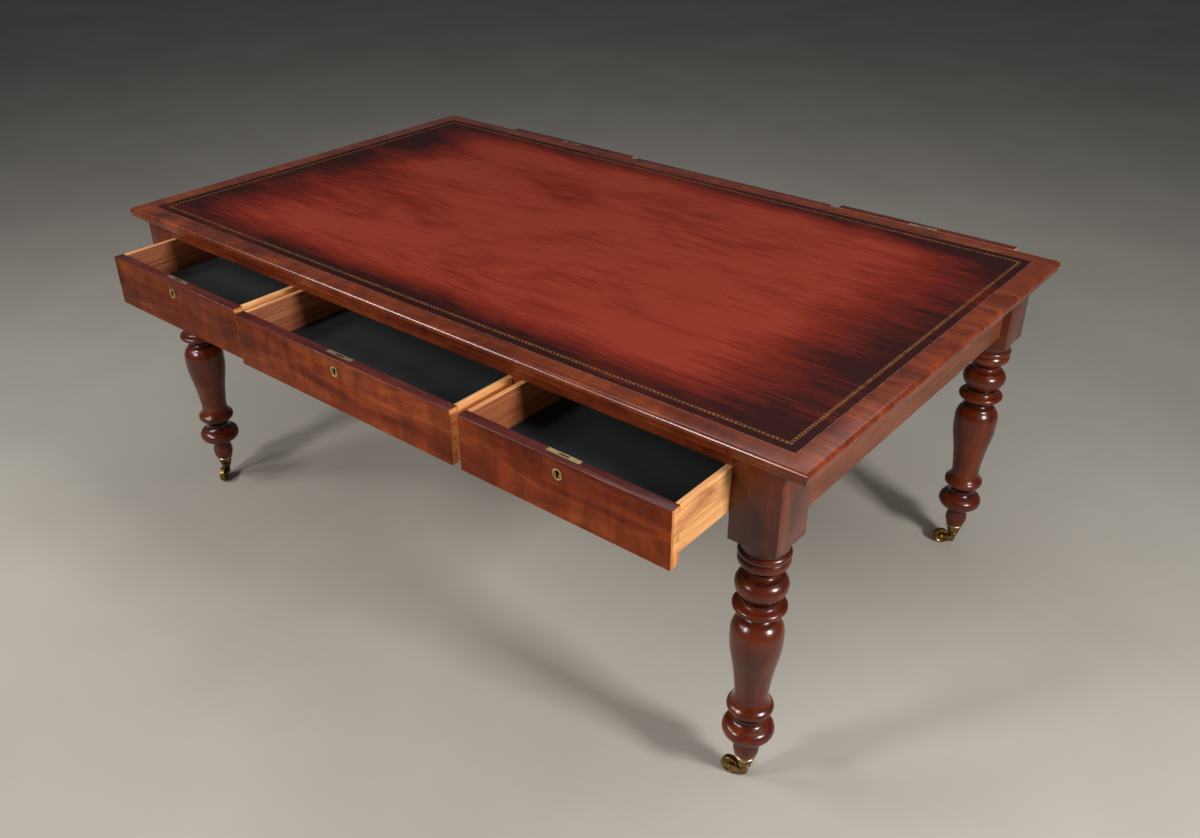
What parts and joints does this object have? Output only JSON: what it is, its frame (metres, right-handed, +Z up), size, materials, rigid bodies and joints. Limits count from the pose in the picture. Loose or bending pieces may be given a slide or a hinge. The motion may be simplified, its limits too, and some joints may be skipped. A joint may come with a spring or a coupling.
{
  "type": "partners desk",
  "caption": "Partners desk with a leather-lined top on turned legs with brass castors, and locking drawers in both long sides.",
  "frame": {"origin": "on the floor under the middle of the desk, with the drawers as open as they stand at rest", "axes": "+X along the desk, +Y away from the near side, +Z up"},
  "size_m": [1.829, 1.3554, 0.748],
  "materials": {
    "polished_mahogany": "french polished",
    "carcase_pine": "bare",
    "drawer_cedar": "bare, worn",
    "red_leather": "antiqued, waxed",
    "dark_lining": "matt skiver",
    "polished_brass": "worn polish",
    "aged_brass": "darkened"
  },
  "bodies": {
    "desk": {"leg_near_left": "polished_mahogany", "leg_near_right": "polished_mahogany", "leg_far_left": "polished_mahogany", "leg_far_right": "polished_mahogany", "castor_cups": "aged_brass", "top_board": "polished_mahogany", "writing_leather": "red_leather", "end_aprons": "polished_mahogany", "centre_rail": "carcase_pine", "top_rails": "polished_mahogany", "bearer_rails": "polished_mahogany", "drawer_muntins": "polished_mahogany", "drawer_runners": "carcase_pine", "drawer_guides": "carcase_pine", "drawer_kickers": "carcase_pine"},
    "near_left_drawer": {"near_left_front": "polished_mahogany", "near_left_box": "drawer_cedar", "near_left_bottom": "drawer_cedar", "near_left_lining": "dark_lining", "near_left_lock": "polished_brass"},
    "near_left_lock_bolt": {"near_left_bolt": "polished_brass"},
    "near_middle_drawer": {"near_middle_front": "polished_mahogany", "near_middle_box": "drawer_cedar", "near_middle_bottom": "drawer_cedar", "near_middle_lining": "dark_lining", "near_middle_lock": "polished_brass"},
    "near_middle_lock_bolt": {"near_middle_bolt": "polished_brass"},
    "near_right_drawer": {"near_right_front": "polished_mahogany", "near_right_box": "drawer_cedar", "near_right_bottom": "drawer_cedar", "near_right_lining": "dark_lining", "near_right_lock": "polished_brass"},
    "near_right_lock_bolt": {"near_right_bolt": "polished_brass"},
    "far_left_drawer": {"far_left_front": "polished_mahogany", "far_left_box": "drawer_cedar", "far_left_bottom": "drawer_cedar", "far_left_lining": "dark_lining", "far_left_lock": "polished_brass"},
    "far_left_lock_bolt": {"far_left_bolt": "polished_brass"},
    "far_middle_drawer": {"far_middle_front": "polished_mahogany", "far_middle_box": "drawer_cedar", "far_middle_bottom": "drawer_cedar", "far_middle_lining": "dark_lining", "far_middle_lock": "polished_brass"},
    "far_middle_lock_bolt": {"far_middle_bolt": "polished_brass"},
    "far_right_drawer": {"far_right_front": "polished_mahogany", "far_right_box": "drawer_cedar", "far_right_bottom": "drawer_cedar", "far_right_lining": "dark_lining", "far_right_lock": "polished_brass"},
    "far_right_lock_bolt": {"far_right_bolt": "polished_brass"},
    "near_left_castor": {"castor_horn_near_left": "aged_brass"},
    "near_left_wheel": {"castor_wheel_near_left": "aged_brass"},
    "near_right_castor": {"castor_horn_near_right": "aged_brass"},
    "near_right_wheel": {"castor_wheel_near_right": "aged_brass"},
    "far_left_castor": {"castor_horn_far_left": "aged_brass"},
    "far_left_wheel": {"castor_wheel_far_left": "aged_brass"},
    "far_right_castor": {"castor_horn_far_right": "aged_brass"},
    "far_right_wheel": {"castor_wheel_far_right": "aged_brass"}
  },
  "joints": [
    {"name": "near_left_drawer_slide", "type": "slide", "parent": "desk", "child": "near_left_drawer", "axis": [0, -1, 0], "range_m": [-0.147, 0.253]},
    {"name": "near_left_bolt_throw", "type": "slide", "parent": "near_left_drawer", "child": "near_left_lock_bolt", "axis": [0, 0, 1], "range_m": [0, 0.007]},
    {"name": "near_middle_drawer_slide", "type": "slide", "parent": "desk", "child": "near_middle_drawer", "axis": [0, -1, 0], "range_m": [-0.158, 0.242]},
    {"name": "near_middle_bolt_throw", "type": "slide", "parent": "near_middle_drawer", "child": "near_middle_lock_bolt", "axis": [0, 0, 1], "range_m": [0, 0.007]},
    {"name": "near_right_drawer_slide", "type": "slide", "parent": "desk", "child": "near_right_drawer", "axis": [0, -1, 0], "range_m": [-0.158, 0.242]},
    {"name": "near_right_bolt_throw", "type": "slide", "parent": "near_right_drawer", "child": "near_right_lock_bolt", "axis": [0, 0, 1], "range_m": [0, 0.007]},
    {"name": "far_left_drawer_slide", "type": "slide", "parent": "desk", "child": "far_left_drawer", "axis": [0, 1, 0], "range_m": [-0.151, 0.249]},
    {"name": "far_left_bolt_throw", "type": "slide", "parent": "far_left_drawer", "child": "far_left_lock_bolt", "axis": [0, 0, 1], "range_m": [0, 0.007]},
    {"name": "far_middle_drawer_slide", "type": "slide", "parent": "desk", "child": "far_middle_drawer", "axis": [0, 1, 0], "range_m": [-0.143, 0.257]},
    {"name": "far_middle_bolt_throw", "type": "slide", "parent": "far_middle_drawer", "child": "far_middle_lock_bolt", "axis": [0, 0, 1], "range_m": [0, 0.007]},
    {"name": "far_right_drawer_slide", "type": "slide", "parent": "desk", "child": "far_right_drawer", "axis": [0, 1, 0], "range_m": [-0.158, 0.242]},
    {"name": "far_right_bolt_throw", "type": "slide", "parent": "far_right_drawer", "child": "far_right_lock_bolt", "axis": [0, 0, 1], "range_m": [0, 0.007]},
    {"name": "near_left_castor_swivel", "type": "hinge", "parent": "desk", "child": "near_left_castor", "pos_m": [-0.8225, -0.472, 0.02], "axis": [0, 0, 1], "continuous": true},
    {"name": "near_left_wheel_roll", "type": "hinge", "parent": "near_left_castor", "child": "near_left_wheel", "pos_m": [-0.80551, -0.49298, 0.0185], "axis": [0.7771, 0.6293, 0], "continuous": true},
    {"name": "near_right_castor_swivel", "type": "hinge", "parent": "desk", "child": "near_right_castor", "pos_m": [0.8225, -0.472, 0.02], "axis": [0, 0, 1], "continuous": true},
    {"name": "near_right_wheel_roll", "type": "hinge", "parent": "near_right_castor", "child": "near_right_wheel", "pos_m": [0.796, -0.47715, 0.0185], "axis": [0.1908, -0.9816, 0], "continuous": true},
    {"name": "far_left_castor_swivel", "type": "hinge", "parent": "desk", "child": "far_left_castor", "pos_m": [-0.8225, 0.472, 0.02], "axis": [0, 0, 1], "continuous": true},
    {"name": "far_left_wheel_roll", "type": "hinge", "parent": "far_left_castor", "child": "far_left_wheel", "pos_m": [-0.83173, 0.44663, 0.0185], "axis": [0.9397, -0.342, 0], "continuous": true},
    {"name": "far_right_castor_swivel", "type": "hinge", "parent": "desk", "child": "far_right_castor", "pos_m": [0.8225, 0.472, 0.02], "axis": [0, 0, 1], "continuous": true},
    {"name": "far_right_wheel_roll", "type": "hinge", "parent": "far_right_castor", "child": "far_right_wheel", "pos_m": [0.79866, 0.45932, 0.0185], "axis": [0.4695, -0.8829, 0], "continuous": true}
  ]
}
